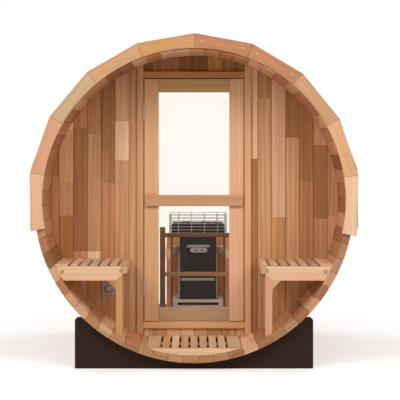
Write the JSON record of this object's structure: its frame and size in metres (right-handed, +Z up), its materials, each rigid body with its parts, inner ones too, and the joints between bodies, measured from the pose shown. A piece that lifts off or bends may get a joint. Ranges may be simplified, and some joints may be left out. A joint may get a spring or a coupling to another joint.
{
  "type": "barrel sauna",
  "caption": "Barrel-shaped cedar sauna cabin on two cradles, with a porch, two slatted benches, a glazed door and an electric heater behind a guard.",
  "frame": {"origin": "on the ground, at the middle of the object's footprint", "axes": "+Z up, -Y out through the front door, +X to the right as seen from the front"},
  "size_m": [1.9066, 1.87, 1.9619],
  "materials": {
    "staves": "planed red cedar staves, bare",
    "wall_boards": "planed red cedar boards, varied browns",
    "trim_cedar": "planed red cedar trim",
    "light_cedar": "planed pale cedar",
    "door_cedar": "planed red cedar",
    "roof_boards": "planed cedar roof boards",
    "dark_stain": "dark brown stained timber, satin",
    "guard_wood": "brown oiled wood",
    "glass": "clear tempered glass with a faint green tint",
    "steel": "brushed stainless steel",
    "heater_enamel": "dark grey enamelled sheet steel",
    "stones": "dark heater top with stones"
  },
  "bodies": {
    "cabin": {"shell_1": "staves", "shell_2": "staves", "shell_3": "staves", "shell_4": "staves", "shell_5": "staves", "shell_6": "staves", "shell_7": "staves", "shell_8": "staves", "hoops": "steel", "cradle_front": "dark_stain", "cradle_rear": "dark_stain", "front_wall_left": "wall_boards", "front_wall_right": "wall_boards", "front_wall_top": "wall_boards", "front_wall_bottom": "wall_boards", "casing_left": "trim_cedar", "casing_right": "trim_cedar", "door_trim": "trim_cedar", "vent": "steel", "rear_wall_left": "wall_boards", "rear_wall_right": "wall_boards", "rear_rails": "wall_boards", "rear_glass": "glass", "fascia_front": "light_cedar", "fascia_rear": "light_cedar", "roof_left": "roof_boards", "roof_right": "roof_boards", "bench_left_slats": "light_cedar", "bench_left_frame": "light_cedar", "bench_right_slats": "light_cedar", "bench_right_frame": "light_cedar", "step_slats": "light_cedar", "step_frame": "light_cedar", "heater_body": "heater_enamel", "heater_base": "steel", "heater_stones": "stones", "heater_rack": "steel", "guard_fence": "guard_wood", "guard_rail": "guard_wood", "frame_hinges": "steel"},
    "door": {"door_stiles": "door_cedar", "door_rails": "door_cedar", "door_glass": "glass", "door_bar": "door_cedar", "door_hinges": "steel"}
  },
  "joints": [
    {"name": "door_hinge", "type": "hinge", "parent": "cabin", "child": "door", "pos_m": [-0.3075, -0.491, 0.974], "axis": [0, 0, -1], "range_deg": [0, 95]}
  ]
}
